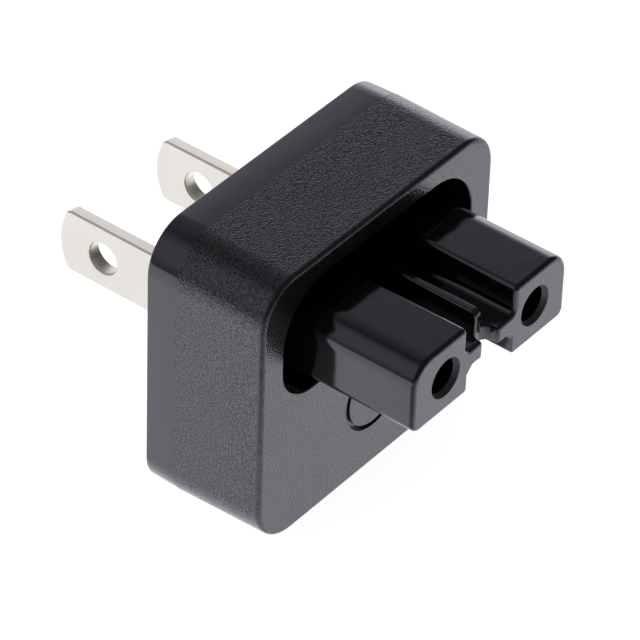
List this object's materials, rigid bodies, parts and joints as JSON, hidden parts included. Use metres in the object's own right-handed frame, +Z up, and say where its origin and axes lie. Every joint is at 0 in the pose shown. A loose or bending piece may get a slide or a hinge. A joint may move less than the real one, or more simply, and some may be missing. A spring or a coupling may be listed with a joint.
{
  "type": "interchangeable plug clip",
  "caption": "Small black clip-on mains plug with flat parallel blades at the back and a socket coupler nose standing in a front pocket, which slides on to a wall charger.",
  "frame": {"origin": "middle of the flat underside", "axes": "X across the body, +Y the way the blades point, +Z up; the coupler nose points along -Y"},
  "size_m": [0.0308, 0.0402, 0.0275],
  "materials": {
    "housing": "fine spark-eroded grain, coupler nose polished",
    "cover": "smooth satin",
    "blade": "bright nickel plate",
    "socket": "bare spring brass",
    "rivet": "bare brass"
  },
  "bodies": {
    "root": {"front_housing": "housing", "rear_cover": "cover", "blade_left": "blade", "blade_right": "blade", "socket_left": "socket", "socket_right": "socket", "rivet_left": "rivet", "rivet_right": "rivet"}
  },
  "joints": []
}
